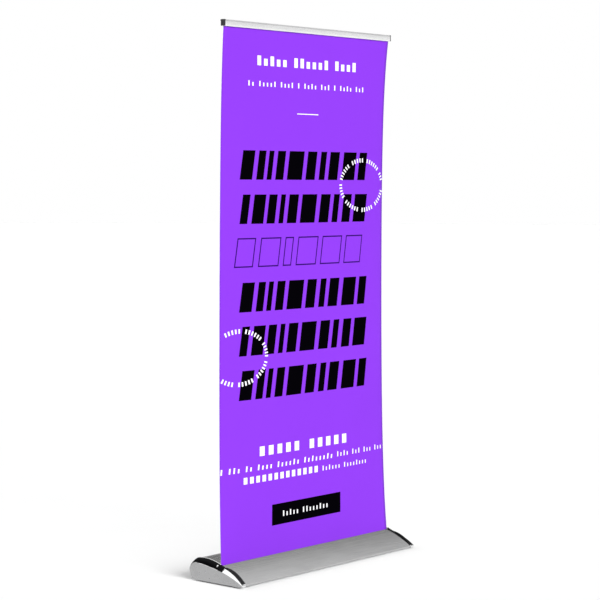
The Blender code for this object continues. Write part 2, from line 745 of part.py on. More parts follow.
def hexagon_points(radius):
    """Twelve points round a hexagon: its corners and the middles of its sides."""
    corners = circle(radius, 6, pi / 12)
    middles = circle(radius * cos(pi / 6), 6, pi / 12 + pi / 6)
    return [point for pair in zip(corners, middles) for point in pair]


def build():
    clear_scene()
    make_housing()
    for name, side in SIDES.items():
        make_cap(name, side)
        make_trim(name, side)
        make_cap_fixings(name, side)
        make_axle_plate(name, side)
        make_plate_screws(name, side)
    make_roller()
    make_spindle()
    make_bushes()
    make_spring()
    make_spring_collar()
    make_graphic()
    make_rail()
    make_pole_socket()
    make_pole_sections()
    make_pole_ends()
    make_pole_head()
    make_feet()


build()
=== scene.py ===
"""Looks of a roll-up banner stand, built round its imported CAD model.

Metres, +Z up, the printed front faces -Y. The film panel is a sheet held flat by the rail above and the
slot below, whose free side edges curl back between them. It, the end caps and their black inserts are
modelled here and take their CAD solids' places. All other pieces are the CAD nodes with rounded edges.
"""
import json
import math

import bmesh
import bpy
from mathutils import Matrix, Vector


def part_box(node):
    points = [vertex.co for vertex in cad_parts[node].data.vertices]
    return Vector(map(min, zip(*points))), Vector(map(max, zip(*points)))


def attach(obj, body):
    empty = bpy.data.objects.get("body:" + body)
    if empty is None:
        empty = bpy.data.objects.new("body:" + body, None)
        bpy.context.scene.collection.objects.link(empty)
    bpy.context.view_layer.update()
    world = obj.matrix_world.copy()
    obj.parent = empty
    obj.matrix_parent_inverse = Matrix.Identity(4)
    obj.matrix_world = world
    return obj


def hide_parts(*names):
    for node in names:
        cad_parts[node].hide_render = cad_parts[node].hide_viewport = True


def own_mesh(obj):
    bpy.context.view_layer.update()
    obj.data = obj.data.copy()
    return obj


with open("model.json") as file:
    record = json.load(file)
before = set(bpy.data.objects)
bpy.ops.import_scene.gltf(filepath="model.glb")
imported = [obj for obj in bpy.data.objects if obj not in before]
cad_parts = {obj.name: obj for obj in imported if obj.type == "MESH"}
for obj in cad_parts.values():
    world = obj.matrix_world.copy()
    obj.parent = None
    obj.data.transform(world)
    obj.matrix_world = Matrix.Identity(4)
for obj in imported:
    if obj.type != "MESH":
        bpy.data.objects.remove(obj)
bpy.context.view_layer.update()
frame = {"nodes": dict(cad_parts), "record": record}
NODES = frame["nodes"]

# Camera
CAMERA_PLACE = Vector((-5.714, -4.805, 1.492))
CAMERA_HEADING = math.radians(49.70)
CAMERA_PITCH = math.radians(0.72)
CAMERA_ROLL = math.radians(0.22)
CAMERA_LENS = 114.58  # mm
CAMERA_SENSOR = 36  # mm
CAMERA_SHIFT = -0.2389
CAMERA_CLIP = (0.1, 200)

# The film panel, from the CAD solid that it replaces
PANEL_LOW, PANEL_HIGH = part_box("graphic_panel")
HALF_WIDTH = PANEL_HIGH.x
PANEL_Y = (PANEL_LOW.y + PANEL_HIGH.y) / 2
FILM_THICK = 0.0005
SLOT_Z = 0.066  # where the film comes out of the housing
RAIL_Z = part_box("rail_spine")[0].z  # where it goes into the rail
EDGE_CURL = 0.025  # how far a side edge curls back
EDGE_NECK = 0.011  # and how far it draws in
CURL_START = 0.16  # distance from the middle at which the curl begins
CURL_POWER = 2.2
FADE_TOP = 0.25  # heights over which the rail and the slot flatten the film
FADE_BOTTOM = 0.34
PANEL_STEP = 0.02  # largest side of the film's facets

# The housing's slope as (y, z): a curve with two handles, from the crest of its round back to its nose
BACK_CENTRE = (0.089, 0.043)
BACK_RADIUS = 0.042
NOSE = (-0.1295, 0.013)
CREST_HANDLE = (0.022, 0.085)
NOSE_HANDLE = (-0.0825, 0.044)
SLOPE_STEPS = 200

# End caps. The step at STEP_Y parts the rear, with the insert, from the black rim that runs to the nose.
CAP_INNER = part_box("end_cap_right")[0].x
CAP_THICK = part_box("end_cap_right")[1].x - CAP_INNER
CAP_FLOOR_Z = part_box("end_cap_right")[0].z
CAP_PROUD = 0.0015  # how far the shell stands above the housing at the back,
STEP_PROUD = 0.0050  # behind the step,
RIM_PROUD = 0.0055  # in front of the step
TIP_PROUD = 0.0035  # and at the nose,
REAR_BULGE = 0.0035  # and what is added halfway along the rear
RIM_BULGE = 0.0085  # and halfway along the rim
STEP_Y = -0.033
STEP_SLANT = 0.0008
BACK_SHOULDER = 0.0175  # how far the shoulder falls to the flat face at the crest
FACE_DROP = 0.0155  # and on the slope, down to nothing at the tip
FACE_FULL_Y = 0.035
FACE_END_Y = -0.130
TIP_Y = -0.1325
TIP_RADIUS = 0.0075
TIP_ARC = (math.radians(150), math.radians(270))
EDGE_FALL = 0.0010  # the least fall, a rounded edge
RIM_CURVE = 1.4  # power of the fall across the rim
SHOULDER_LEAN = 0.35  # straight part of the fall elsewhere; the rest has the power SHOULDER_CURVE
SHOULDER_CURVE = 2.6
LIP_SHARE = 0.16  # the bright lip inside the insert, as a share of the cap's thickness
LIP_BEAD = 0.0007  # height of the bead along the lip
LIP_BEAD_PROFILE = ((0.04, 0.8), (0.08, 1.0), (0.12, 0.8))  # its rings: share of thickness, share of height
LIP_END_Y = -0.009  # in front of this the lip is black
TRIM_THICK = 0.0016
TRIM_RECESS = 0.0019
TRIM_START = math.radians(14)  # where the insert begins on the round back
TRIM_END_SLANT = math.radians(0.6)  # the recess's end wall takes this much of the round
TRIM_SHARES = (LIP_SHARE + 0.045, LIP_SHARE + 0.05, 0.26, 0.36, 0.46, 0.56, 0.66, 0.76, 0.86, 0.94, 0.985)
RIM_WIDTH = (0.30, 0.88)  # share of the thickness that is rim, at the step and at the nose
RIM_FALL = (0.9, 0.45)  # share of an even slope's fall that lies on the rim, at the step and at the nose
RIM_LAP = 0.18  # how far the rim reaches in over the housing, as a share of the thickness
PLAIN_SHOULDER = 0.46  # where the rim's outer ring lies at the stations without a rim
RECESS_WALL = 0.01  # share of the thickness that the recess's inner wall takes
RECESS_RINGS = 4  # strips of the skin from there to the rim's outer ring
FACE_RINGS = 7  # and on to the flat face
LIP_RING = 6  # how many strips lie inside the recess's inner wall
RIM_RING = LIP_RING + RECESS_RINGS  # and how many inside the rim's outer ring
SHELL_THICK = 0.0014
FLANGE = 0.003  # how far the shell's inner edge reaches below the housing's surface
FLANGE_SETBACK = 0.01  # share of the thickness between the skin's first ring and that edge
HOUSING_GAP = 0.0002  # what is left under that edge where the rim laps over the housing
SCREW_PLACE = (0.050, 0.040)
SCREW_HOLE = 0.0034
SCREW_CORNERS = 24
PAINTED_FOOT_SHADE_Z = 0.0062  # below this the outer part of the shell's lower edge is painted black, a painted shade for the feet in shadow
SHELL_EDGE = 0.0003
BACK_STEPS = 16  # stations along each stretch of the outline
CREST_STEPS = 18
REAR_STEPS = 30
RIM_STEPS = 28
TIP_STEPS = 12

# Edges of the CAD pieces
MERGE_DISTANCE = 0.00001
SHARP_ANGLE = math.radians(28)
FLAT_ANGLE = math.radians(0.5)
EDGE_ROUND = {  # by material slot
    "satin_aluminium": 0.0003,
    "rail_aluminium": 0.0003,
    "chrome_plated": 0.0005,
    "black_gloss": 0.0003,
    "black_plastic": 0.0004,
    "rubber": 0.0005,
    "zinc_steel": 0.0002,
    "nylon": 0.0003,
    "elastic_cord": 0.0001,
    "printed_film": 0.0001,
}


# ---------------------------------------------------------------- materials

def material(name, color, metallic=0.0, roughness=0.5, **inputs):
    made = bpy.data.materials.new(name)
    made.use_nodes = True
    shader = made.node_tree.nodes["Principled BSDF"]
    shader.inputs["Base Color"].default_value = (*color, 1)
    shader.inputs["Metallic"].default_value = metallic
    shader.inputs["Roughness"].default_value = roughness
    for socket, value in inputs.items():
        shader.inputs[socket.replace("_", " ")].default_value = value
    return made


def stretched(tree, scale):
    """Object coordinates scaled along each axis, so a texture can run along a piece."""
    place = tree.nodes.new("ShaderNodeTexCoord")
    mapping = tree.nodes.new("ShaderNodeMapping")
    mapping.inputs["Scale"].default_value = scale
    tree.links.new(place.outputs["Object"], mapping.inputs["Vector"])
    return mapping.outputs["Vector"]


def noise(tree, scale, detail=3.0, rough=0.5):
    texture = tree.nodes.new("ShaderNodeTexNoise")
    texture.inputs["Scale"].default_value = 1.0
    texture.inputs["Detail"].default_value = detail
    texture.inputs["Roughness"].default_value = rough
    tree.links.new(stretched(tree, scale), texture.inputs["Vector"])
    return texture.outputs["Fac"]


def spread(tree, value, low, high):
    """Maps a texture value from 0.3-0.7, where noise mostly lies, to low-high."""
    mapped = tree.nodes.new("ShaderNodeMapRange")
    mapped.inputs["From Min"].default_value = 0.3
    mapped.inputs["From Max"].default_value = 0.7
    mapped.inputs["To Min"].default_value = low
    mapped.inputs["To Max"].default_value = high
    tree.links.new(value, mapped.inputs["Value"])
    return mapped.outputs["Result"]


def vary_roughness(made, value, low, high):
    tree = made.node_tree
    shader = tree.nodes["Principled BSDF"]
    tree.links.new(spread(tree, value, low, high), shader.inputs["Roughness"])


def vary_color(made, value, dark, light):
    tree = made.node_tree
    blend = tree.nodes.new("ShaderNodeMix")
    blend.data_type = "RGBA"
    blend.inputs["A"].default_value = (*dark, 1)
    blend.inputs["B"].default_value = (*light, 1)
    tree.links.new(spread(tree, value, 0.0, 1.0), blend.inputs["Factor"])
    tree.links.new(blend.outputs["Result"], tree.nodes["Principled BSDF"].inputs["Base Color"])


def add_bump(made, value, depth):
    """Raises the surface by up to depth metres where value is 1."""
    tree = made.node_tree
    bump = tree.nodes.new("ShaderNodeBump")
    bump.inputs["Strength"].default_value = 1.0
    bump.inputs["Distance"].default_value = depth
    tree.links.new(value, bump.inputs["Height"])
    tree.links.new(bump.outputs["Normal"], tree.nodes["Principled BSDF"].inputs["Normal"])


def scaled(color, factor):
    return tuple(min(1.0, part * factor) for part in color)


def extruded_aluminium(name, color, roughness):
    """Anodised extrusion: fine lines along X and slow patches in the etch."""
    made = material(name, color, 1.0, roughness)
    tree = made.node_tree
    grain = noise(tree, (6, 2500, 2500), 4.0, 0.6)
    patches = noise(tree, (9, 30, 30), 3.0)
    vary_color(made, patches, scaled(color, 0.95), scaled(color, 1.05))
    vary_roughness(made, grain, roughness - 0.03, roughness + 0.03)
    add_bump(made, grain, 0.000003)
    return made


def chrome(name, color, roughness):
    """Plated die casting: a faint orange peel and slightly hazy patches."""
    made = material(name, color, 1.0, roughness)
    tree = made.node_tree
    peel = noise(tree, (220, 220, 220), 2.0)
    haze = noise(tree, (25, 25, 25), 4.0)
    vary_roughness(made, haze, roughness * 0.6, roughness * 1.6)
    add_bump(made, peel, 0.000012)
    return made


def moulded(name, color, roughness, pitch, depth):
    """Moulded plastic or rubber: an etched tool texture of that pitch and depth."""
    made = material(name, color, 0.0, roughness)
    tree = made.node_tree
    texture = noise(tree, (1 / pitch, 1 / pitch, 1 / pitch), 2.0)
    patches = noise(tree, (40, 40, 40), 3.0)
    vary_color(made, patches, scaled(color, 0.85), scaled(color, 1.2))
    vary_roughness(made, texture, roughness - 0.07, roughness + 0.07)
    add_bump(made, texture, depth)
    return made


def gloss_black(name, color, level):
    """Polished black with hairline scratches."""
    made = material(name, color, 0.0, 0.1, Specular_IOR_Level=level)
    tree = made.node_tree
    scratches = noise(tree, (900, 40, 900), 5.0, 0.7)
    vary_roughness(made, scratches, 0.06, 0.16)
    add_bump(made, noise(tree, (150, 150, 150), 1.0), 0.000005)
    return made


def plated_steel(name, color):
    """Bright zinc plate with its cloudy crystals."""
    made = material(name, color, 1.0, 0.3)
    tree = made.node_tree
    crystals = tree.nodes.new("ShaderNodeTexVoronoi")
    crystals.inputs["Scale"].default_value = 1.0
    tree.links.new(stretched(tree, (700, 700, 700)), crystals.inputs["Vector"])
    vary_color(made, noise(tree, (160, 160, 160)), scaled(color, 0.85), scaled(color, 1.15))
    vary_roughness(made, crystals.outputs["Distance"], 0.22, 0.42)
    return made


def film(name, color, roughness, level=0.03):
    """Matt laminate: a fine sand-blast texture over a flat colour that hardly varies."""
    made = material(name, color, 0.0, roughness, Specular_IOR_Level=level)
    tree = made.node_tree
    texture = noise(tree, (1800, 1800, 1800), 2.0)
    shade = noise(tree, (3, 3, 3), 2.0)
    vary_color(made, shade, scaled(color, 0.985), scaled(color, 1.01))
    vary_roughness(made, texture, roughness - 0.06, roughness + 0.06)
    add_bump(made, texture, 0.000004)
    return made


def braided(name):
    """Woven sleeve of an elastic cord: light flecks on dark yarn."""
    made = material(name, (0.03, 0.03, 0.034), 0.0, 0.85, Sheen_Weight=0.4)
    tree = made.node_tree
    weave = tree.nodes.new("ShaderNodeTexWave")
    weave.wave_type = "BANDS"
    weave.bands_direction = "DIAGONAL"
    weave.inputs["Scale"].default_value = 1.0
    tree.links.new(stretched(tree, (300, 300, 180)), weave.inputs["Vector"])
    vary_color(made, weave.outputs["Fac"], (0.02, 0.02, 0.022), (0.09, 0.09, 0.1))
    add_bump(made, weave.outputs["Fac"], 0.0002)
    return made


MATERIALS = {
    "satin_aluminium": extruded_aluminium("satin_aluminium", (0.56, 0.56, 0.565), 0.26),
    "rail_aluminium": extruded_aluminium("rail_aluminium", (0.92, 0.92, 0.925), 0.28),
    "chrome_plated": chrome("chrome_plated", (0.93, 0.93, 0.935), 0.06),
    "black_gloss": gloss_black("black_gloss", (0.0015, 0.0015, 0.002), 0.06),
    "black_plastic": moulded("black_plastic", (0.022, 0.022, 0.024), 0.45, 0.0006, 0.00003),
    "rubber": moulded("rubber", (0.014, 0.014, 0.014), 0.75, 0.0012, 0.00006),
    "zinc_steel": plated_steel("zinc_steel", (0.60, 0.61, 0.63)),
    "nylon": moulded("nylon", (0.72, 0.71, 0.66), 0.42, 0.0008, 0.00002),
    "elastic_cord": braided("elastic_cord"),
    "printed_film": film("printed_film", (0.152, 0.0258, 0.462), 0.55),
}
CAP_FACE = chrome("cap_face", (0.42, 0.42, 0.425), 0.22)
# black of the caps' rim, also used as painted shade along the caps' lower edges
RIM_AND_SHADE_BLACK = gloss_black("rim_and_painted_shade_black", (0.006, 0.006, 0.007), 0.14)
FILM_BACK = film("film_back", (0.60, 0.60, 0.61), 0.6)
INK_BLACK = film("ink_black", (0.0008, 0.0006, 0.0012), 0.6, 0.0)
INK_WHITE = film("ink_white", (0.56, 0.557, 0.566), 0.55)
INK_LINE = film("ink_outline", (0.013, 0.001, 0.07), 0.5)


def paint(piece, made):
    piece.data.materials.clear()
    piece.data.materials.append(made)


def paint_cad_nodes():
    """The material of every CAD node; the pole behind the film stays out of the housing's reflections."""
    for part in frame["record"]["subparts"]:
        paint(NODES[part["node"]], MATERIALS[part["material_slot"]])
        if part["node"].startswith("pole_"):
            NODES[part["node"]].visible_glossy = False


# ---------------------------------------------------------------- meshes

def smooth_by_angle():
    """A node group that joins the CAD triangles' corners and shades all but the sharp edges smooth."""
    group = bpy.data.node_groups.new("smooth_by_angle", "GeometryNodeTree")
    group.interface.new_socket("Geometry", in_out="INPUT", socket_type="NodeSocketGeometry")
    group.interface.new_socket("Geometry", in_out="OUTPUT", socket_type="NodeSocketGeometry")
    first = group.nodes.new("NodeGroupInput")
    merge = group.nodes.new("GeometryNodeMergeByDistance")
    merge.inputs["Distance"].default_value = MERGE_DISTANCE
    angle = group.nodes.new("GeometryNodeInputMeshEdgeAngle")
    compare = group.nodes.new("FunctionNodeCompare")
    compare.data_type = "FLOAT"
    compare.operation = "GREATER_THAN"
    compare.inputs["B"].default_value = SHARP_ANGLE
    normal = group.nodes.new("GeometryNodeSetMeshNormal")
    normal.mode = "SHARPNESS"
    normal.inputs["Remove Custom"].default_value = True
    last = group.nodes.new("NodeGroupOutput")
    links = group.links
    links.new(first.outputs[0], merge.inputs["Geometry"])
    links.new(merge.outputs["Geometry"], normal.inputs["Mesh"])
    links.new(angle.outputs["Unsigned Angle"], compare.inputs["A"])
    links.new(compare.outputs["Result"], normal.inputs["Edge Sharpness"])
    links.new(normal.outputs["Mesh"], last.inputs[0])
    return group


SMOOTH_GROUP = smooth_by_angle()


def add_smoothing(piece, name):
    modifier = piece.modifiers.new(name, "NODES")
    modifier.node_group = SMOOTH_GROUP


def soften(piece, width):
    """Rounds every sharp edge by width and shades the curved faces smooth."""
    add_smoothing(piece, "join")
    flat = piece.modifiers.new("flats", "DECIMATE")
    flat.decimate_type = "DISSOLVE"
    flat.angle_limit = FLAT_ANGLE
    flat.delimit = {"MATERIAL"}
    bevel = piece.modifiers.new("edges", "BEVEL")
    bevel.limit_method = "ANGLE"
    bevel.angle_limit = SHARP_ANGLE
    bevel.width = width
    bevel.segments = 2
    bevel.use_clamp_overlap = True
    add_smoothing(piece, "smooth")
    even = piece.modifiers.new("even", "WEIGHTED_NORMAL")
    even.keep_sharp = True


def soften_cad_nodes():
    for part in frame["record"]["subparts"]:
        if not NODES[part["node"]].hide_render:
            soften(NODES[part["node"]], EDGE_ROUND[part["material_slot"]])


def new_piece(name, mesh, body, *materials):
    """Turns a bmesh into a piece that rides on a CAD body."""
    bmesh.ops.recalc_face_normals(mesh, faces=mesh.faces)
    data = bpy.data.meshes.new(name)
    mesh.to_mesh(data)
    mesh.free()
    for made in materials:
        data.materials.append(made)
    piece = bpy.data.objects.new(name, data)
    bpy.context.scene.collection.objects.link(piece)
    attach(piece, body)
    return piece


# ---------------------------------------------------------------- end caps

def mix(low, high, share):
    share = min(max(share, 0.0), 1.0)
    return low + (high - low) * share


def evenly(low, high, steps):
    """The ends of that many equal steps from low to high, both included."""
    return [mix(low, high, i / steps) for i in range(steps + 1)]


def slope_points():
    """The housing's top in section, from its crest to its nose."""
    crest = (BACK_CENTRE[0], BACK_CENTRE[1] + BACK_RADIUS)
    points = []
    for i in range(SLOPE_STEPS + 1):
        t = i / SLOPE_STEPS
        weights = ((1 - t) ** 3, 3 * t * (1 - t) ** 2, 3 * t * t * (1 - t), t ** 3)
        handles = (crest, CREST_HANDLE, NOSE_HANDLE, NOSE)
        points.append(tuple(sum(w * p[k] for w, p in zip(weights, handles)) for k in (0, 1)))
    return points


def slope_height(y):
    points = slope_points()
    for (y0, z0), (y1, z1) in zip(points, points[1:]):
        if y1 <= y <= y0:
            return mix(z0, z1, (y0 - y) / (y0 - y1))
    return NOSE[1]


def rear_proud(y):
    share = (BACK_CENTRE[0] - y) / (BACK_CENTRE[0] - STEP_Y)
    return mix(CAP_PROUD, STEP_PROUD, share) + REAR_BULGE * math.sin(math.pi * share)


def rim_proud(y):
    share = (STEP_Y - y) / (STEP_Y - NOSE[0])
    return mix(RIM_PROUD, TIP_PROUD, share) + RIM_BULGE * math.sin(math.pi * share)


class Station:
    """One place round an end cap: its inner edge as (y, z), the shoulder's fall to the flat face as a
    vector, how proud it stands of the housing, how deep the insert's recess is, the rim's width as a
    share of the thickness, and the rim's fall as a share of an even slope's."""

    def __init__(self, edge, fall, proud=0.0, recess=0.0, rim=0.0, rim_fall=0.0):
        self.edge = Vector(edge)
        self.fall = Vector(fall)
        self.inner = -RIM_LAP if rim else 0.0
        self.flange = proud - HOUSING_GAP if rim else proud + FLANGE
        self.recess = recess
        self.rim = rim
        self.rim_fall = rim * rim_fall

    def share(self, across):
        """Share of the shoulder's fall: a flat facet outside the rim, a round shoulder elsewhere."""
        if self.rim:
            if across < self.rim:
                return self.rim_fall * max(0.0, across / self.rim) ** RIM_CURVE
            return mix(self.rim_fall, 1.0, (across - self.rim) / (1 - self.rim))
        out = max(0.0, (across - LIP_SHARE) / (1 - LIP_SHARE))
        return SHOULDER_LEAN * out + (1 - SHOULDER_LEAN) * out ** SHOULDER_CURVE

    def point(self, side, across, share, sunk=0.0):
        """A point of the skin, across from the inner edge to the flat face, sunk below the skin."""
        y, z = self.edge + self.fall * share + self.fall.normalized() * sunk
        return Vector((side * (CAP_INNER + CAP_THICK * across), y, z))


def slope_station(y, proud, **cut):
    fall = proud + mix(0.0, FACE_DROP, (y - FACE_END_Y) / (FACE_FULL_Y - FACE_END_Y))
    return Station((y, slope_height(y) + proud), (0, -fall), proud, **cut)


def round_station(centre, radius, angle, fall, recess=0.0):
    way = Vector((math.cos(angle), math.sin(angle)))
    return Station(Vector(centre) + radius * way, -fall * way, 0.0, recess)


def cap_stations():
    """Stations from the floor round the back, over the slope and round the tip."""
    radius = BACK_RADIUS + CAP_PROUD
    start = math.asin((CAP_FLOOR_Z - BACK_CENTRE[1]) / radius)
    found = []
    for angle in evenly(start, TRIM_START, BACK_STEPS):
        fall = max(EDGE_FALL, BACK_SHOULDER * angle / (math.pi / 2))
        found.append(round_station(BACK_CENTRE, radius, angle, fall))
    for angle in evenly(TRIM_START + TRIM_END_SLANT, math.pi / 2, CREST_STEPS):
        fall = BACK_SHOULDER * angle / (math.pi / 2)
        found.append(round_station(BACK_CENTRE, radius, angle, fall, TRIM_RECESS))
    for y in evenly(BACK_CENTRE[0], STEP_Y, REAR_STEPS)[1:]:
        found.append(slope_station(y, rear_proud(y), recess=TRIM_RECESS))
    rim_places = evenly(STEP_Y - STEP_SLANT, NOSE[0], RIM_STEPS)
    rim_cuts = zip(evenly(*RIM_WIDTH, RIM_STEPS), evenly(*RIM_FALL, RIM_STEPS))
    for y, (width, fall) in zip(rim_places, rim_cuts):
        found.append(slope_station(y, rim_proud(y), rim=width, rim_fall=fall))
    centre = (TIP_Y + TIP_RADIUS, CAP_FLOOR_Z + TIP_RADIUS)
    for angle in evenly(*TIP_ARC, TIP_STEPS):
        found.append(round_station(centre, TIP_RADIUS, angle, EDGE_FALL))
    return found


STATIONS = cap_stations()


def ring_places(station):
    """Across the shoulder: share of the thickness and how deep the skin lies there."""
    rim = station.rim or PLAIN_SHOULDER
    bead = -LIP_BEAD if station.recess else 0.0
    rings = [(station.inner, 0)]
    rings += [(across, bead * height) for across, height in LIP_BEAD_PROFILE]
    rings += [(LIP_SHARE, 0)]
    rings += [(across, station.recess) for across in evenly(LIP_SHARE + RECESS_WALL, rim, RECESS_RINGS)]
    rings += [(across, station.recess) for across in evenly(rim, 1.0, FACE_RINGS)[1:]]
    return rings


def skin_point(station, side, place):
    across, sunk = place
    return station.point(side, across, station.share(across), sunk)


def cap_material(station, other, ring, low_z):
    """0 chrome, 1 the rim's black, for the face between two stations in one strip of the skin. The outer
    lower edge near the floor also gets 1, as painted shade of the feet.
    """
    if station.rim and other.rim and ring < RIM_RING:
        return 1
    if station.recess and station.edge.x < LIP_END_Y and ring < LIP_RING:
        return 1
    # painted shade: the outer lower edge, low over the floor, is painted black where the feet lie in shadow
    if low_z < PAINTED_FOOT_SHADE_Z and station.recess == 0 and ring > RIM_RING:
        return 1
    return 0


def make_cap_cover(name, side):
    """The plated cap as a thin shell: flange, shoulder with the insert's recess and the rim, flat face."""
    mesh = bmesh.new()
    rings = [[mesh.verts.new(s.point(side, s.inner + FLANGE_SETBACK, 0.0, s.flange)) for s in STATIONS]]
    places = [ring_places(s) for s in STATIONS]
    for ring in zip(*places):
        rings.append([mesh.verts.new(skin_point(s, side, place)) for s, place in zip(STATIONS, ring)])
    count = len(STATIONS)
    for number, (inner, outer) in enumerate(zip(rings, rings[1:])):
        for i in range(count):
            j = (i + 1) % count
            face = mesh.faces.new((inner[i], inner[j], outer[j], outer[i]))
            low_z = min(outer[i].co.z, outer[j].co.z)
            face.material_index = cap_material(STATIONS[i], STATIONS[j], number, low_z)
            face.smooth = True
    make_flat_face(mesh, rings[-1], side)
    slots = (MATERIALS["chrome_plated"], RIM_AND_SHADE_BLACK, CAP_FACE)
    shell = new_piece(f"end_cap_{name}_shell", mesh, "base", *slots)
    shell.visible_glossy = False
    thick = shell.modifiers.new("wall", "SOLIDIFY")
    thick.thickness = SHELL_THICK
    thick.offset = -1
    soften(shell, SHELL_EDGE)
    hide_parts(f"end_cap_{name}")


def make_flat_face(mesh, rim, side):
    """The flat outer face with a round hole for the cap's screw."""
    x = side * (CAP_INNER + CAP_THICK)
    hole = []
    for i in range(SCREW_CORNERS):
        angle = 2 * math.pi * i / SCREW_CORNERS
        y = SCREW_PLACE[0] + SCREW_HOLE * math.cos(angle)
        z = SCREW_PLACE[1] + SCREW_HOLE * math.sin(angle)
        hole.append(mesh.verts.new((x, y, z)))
    edges = [mesh.edges.get((a, b)) for a, b in zip(rim, rim[1:] + rim[:1])]
    edges += [mesh.edges.new((a, b)) for a, b in zip(hole, hole[1:] + hole[:1])]
    filled = bmesh.ops.triangle_fill(mesh, edges=edges, use_beauty=True)
    for face in filled["geom"]:
        if isinstance(face, bmesh.types.BMFace):
            face.material_index = 2


def make_trim_insert(name, side):
    """The black insert in the shoulder's recess, behind the step."""
    rounds = [s for s in STATIONS if s.recess][1:]
    mesh = bmesh.new()
    rings = []
    for station in rounds:
        top = [station.point(side, u, station.share(u)) for u in TRIM_SHARES]
        under = [station.point(side, u, station.share(u), TRIM_THICK) for u in reversed(TRIM_SHARES)]
        rings.append([mesh.verts.new(point) for point in top + under])
    for one, other in zip(rings, rings[1:]):
        for i in range(len(one)):
            j = (i + 1) % len(one)
            mesh.faces.new((one[i], one[j], other[j], other[i])).smooth = True
    mesh.faces.new(rings[0])
    mesh.faces.new(rings[-1])
    insert = new_piece(f"end_trim_{name}_insert", mesh, "base", MATERIALS["black_gloss"])
    soften(insert, SHELL_EDGE)
    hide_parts(f"end_trim_{name}")


# ---------------------------------------------------------------- the film panel

def curl(x, z):
    """How far the film at x, z has curled back and drawn in, as shares of the most that it does."""
    across = max(0.0, (abs(x) - CURL_START) / (HALF_WIDTH - CURL_START))
    above = max(0.0, z - SLOT_Z)
    below = max(0.0, RAIL_Z - z)
    free = (1 - math.exp(-above / FADE_BOTTOM)) * (1 - math.exp(-below / FADE_TOP))
    return across ** CURL_POWER * free, abs(x) / HALF_WIDTH * free


def on_film(x, z, proud=0.0):
    """The point of the curled film for the flat place x, z, proud metres in front of its front face."""
    back, inward = curl(x, z)
    side = math.copysign(1.0, x)
    return Vector((x - side * EDGE_NECK * inward, PANEL_Y - FILM_THICK / 2 - proud + EDGE_CURL * back, z))


def stay_out_of_light(piece):
    """The studio's light passes the film, so it neither tints nor shades the base and the floor."""
    piece.visible_diffuse = False
    piece.visible_glossy = False
    piece.visible_shadow = False


def squash_with_rail(piece):
    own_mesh(piece)


def slab(mesh, corners, front, back):
    """A thin closed slab over a four-sided patch of the film, cut small enough to follow the curl. Its
    front has the piece's first material, its back and its edges the second."""
    low_left, low_right, high_right, high_left = [Vector(corner) for corner in corners]
    wide = max((low_right - low_left).length, (high_right - high_left).length)
    tall = max((high_left - low_left).length, (high_right - low_right).length)
    columns = max(1, math.ceil(wide / PANEL_STEP))
    rows = max(1, math.ceil(tall / PANEL_STEP))

    def layer(proud):
        points = []
        for j in range(rows + 1):
            left = low_left.lerp(high_left, j / rows)
            right = low_right.lerp(high_right, j / rows)
            for i in range(columns + 1):
                x, z = left.lerp(right, i / columns)
                points.append(mesh.verts.new(on_film(x, z, proud)))
        return points

    near, far = layer(front), layer(back)
    for j in range(rows):
        for i in range(columns):
            a = j * (columns + 1) + i
            around = (a, a + 1, a + columns + 2, a + columns + 1)
            mesh.faces.new([near[k] for k in around])
            mesh.faces.new([far[k] for k in reversed(around)]).material_index = 1
    rim = list(range(columns + 1))
    rim += [j * (columns + 1) + columns for j in range(1, rows + 1)]
    rim += [rows * (columns + 1) + i for i in reversed(range(columns))]
    rim += [j * (columns + 1) for j in reversed(range(1, rows))]
    for here, there in zip(rim, rim[1:] + rim[:1]):
        mesh.faces.new((near[there], near[here], far[here], far[there])).material_index = 1


def make_film():
    mesh = bmesh.new()
    corners = (
        (-HALF_WIDTH, PANEL_LOW.z),
        (HALF_WIDTH, PANEL_LOW.z),
        (HALF_WIDTH, PANEL_HIGH.z),
        (-HALF_WIDTH, PANEL_HIGH.z),
    )
    slab(mesh, corners, 0.0, -FILM_THICK)
    piece = new_piece("banner_film", mesh, "base", MATERIALS["printed_film"], FILM_BACK)
    for face in piece.data.polygons:
        face.use_smooth = True
    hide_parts("graphic_panel")
    squash_with_rail(piece)
    stay_out_of_light(piece)


# ---------------------------------------------------------------- the print

# Places on the print are u from the film's left edge and v up from the slot, in metres.
PRINT_PROUD = 0.0003  # from one layer of ink to the next
PRINT_GAP = 0.00005  # under each layer
BLOCK_SLANT = 0.165  # how far the blocks lean to the right for each metre of height
BLOCK_HEIGHT = 0.111
BLOCK_ROWS = (1.429, 1.262, 0.930, 0.765, 0.599)
BLOCKS = ((0.097, 0.224), (0.242, 0.339), (0.361, 0.531), (0.556, 0.674), (0.701, 0.862))
BLOCK_SLIT = 0.022
SLIT_SHARES = (0.60, 0.40)  # how far across a block its slit lies, in turn
OUTLINE_ROW = 1.098
OUTLINE_BLOCKS = (
    (0.070, 0.168),
    (0.196, 0.312),
    (0.338, 0.388),
    (0.416, 0.540),
    (0.566, 0.690),
    (0.716, 0.829),
)
OUTLINE = 0.0050
OUTLINE_SIDE = 1.02  # a slanted side, measured level, is wider than it is thick
WORD_GAP = 0.8  # between words, in blocks
RING_HALF = (0.148, 0.100)
RING_CENTRES = ((0.845, 1.409), (0.098, 0.760))
RING_DEPTH = 0.017
RING_TICKS = 52
RING_RUN = 13  # ticks after which the pattern of a ring repeats
RING_MISSING = (5, 12)  # ticks left out of each run
RING_DASH = 0.46  # share of a tick's step that is ink
FILM_MARGIN = 0.001  # nothing is printed nearer to the film's side edges


def patch(u0, v0, u1, v1, slant=0.0):
    """Corners of a slanted block, from print coordinates: u from the left edge, v up from the slot."""
    z0, z1 = SLOT_Z + v0, SLOT_Z + v1
    x0, x1 = u0 - HALF_WIDTH, u1 - HALF_WIDTH
    lean = slant * (v1 - v0)
    return ((x0, z0), (x1, z0), (x1 + lean, z1), (x0 + lean, z1))


